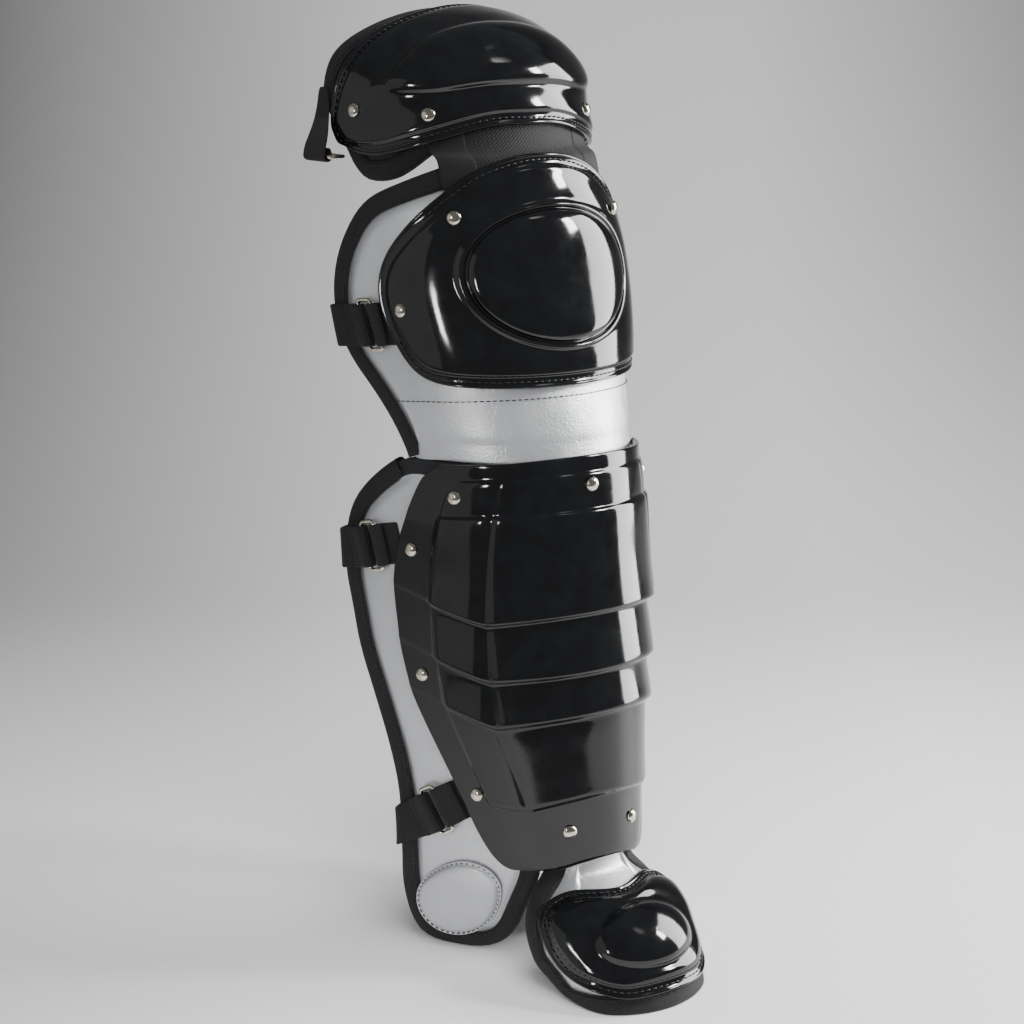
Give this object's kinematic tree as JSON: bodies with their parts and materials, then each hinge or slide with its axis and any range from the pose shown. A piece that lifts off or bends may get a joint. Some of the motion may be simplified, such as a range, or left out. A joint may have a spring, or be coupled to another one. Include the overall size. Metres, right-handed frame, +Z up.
{
  "type": "leg guard",
  "caption": "Padded leg guard with glossy thigh, knee, shin and toe shells, ankle wings and elastic straps behind the leg.",
  "frame": {"origin": "on the floor under the middle of the overall box", "axes": "+Z up along the leg, -Y to the front of the shin, +X to the guard's right when seen from the front"},
  "size_m": [0.2226, 0.2766, 0.6437],
  "materials": {
    "padding_cover": "silver metallic vinyl, soft grain",
    "webbing": "black woven nylon and elastic",
    "shell_plastic": "black, high gloss",
    "bright_metal": "bright nickel"
  },
  "bodies": {
    "root": {"knee_pad": "padding_cover", "shin_pad": "padding_cover", "toe_pad": "padding_cover", "thigh_pad": "padding_cover", "ankle_disc_left": "padding_cover", "ankle_disc_right": "padding_cover", "knee_binding": "webbing", "shin_binding": "webbing", "toe_binding": "webbing", "thigh_binding": "webbing", "hinge_fabric": "webbing", "hinge_web_left": "webbing", "hinge_web_right": "webbing", "strap_knee": "webbing", "strap_upper": "webbing", "strap_lower": "webbing", "tab_thigh_left": "webbing", "tab_thigh_right": "webbing", "tab_knee_left": "webbing", "tab_knee_right": "webbing", "tab_upper_left": "webbing", "tab_upper_right": "webbing", "tab_lower_left": "webbing", "tab_lower_right": "webbing", "knee_shell": "shell_plastic", "shin_shell": "shell_plastic", "thigh_shell": "shell_plastic", "toe_shell": "shell_plastic", "ring_thigh_left": "bright_metal", "ring_thigh_right": "bright_metal", "ring_knee_left": "bright_metal", "ring_knee_right": "bright_metal", "ring_upper_left": "bright_metal", "ring_upper_right": "bright_metal", "ring_lower_left": "bright_metal", "ring_lower_right": "bright_metal", "rivet_shin_top": "bright_metal", "rivet_knee_upper_left": "bright_metal", "rivet_knee_upper_right": "bright_metal", "rivet_knee_lower_left": "bright_metal", "rivet_knee_lower_right": "bright_metal", "rivet_shin_upper_left": "bright_metal", "rivet_shin_upper_right": "bright_metal", "rivet_shin_side_left": "bright_metal", "rivet_shin_side_right": "bright_metal", "rivet_shin_lower_left": "bright_metal", "rivet_shin_lower_right": "bright_metal", "rivet_shin_ankle_left": "bright_metal", "rivet_shin_ankle_right": "bright_metal", "rivet_shin_band_left": "bright_metal", "rivet_shin_band_right": "bright_metal", "rivet_thigh_side_left": "bright_metal", "rivet_thigh_side_right": "bright_metal", "rivet_thigh_front_left": "bright_metal", "rivet_thigh_front_right": "bright_metal"}
  },
  "joints": []
}
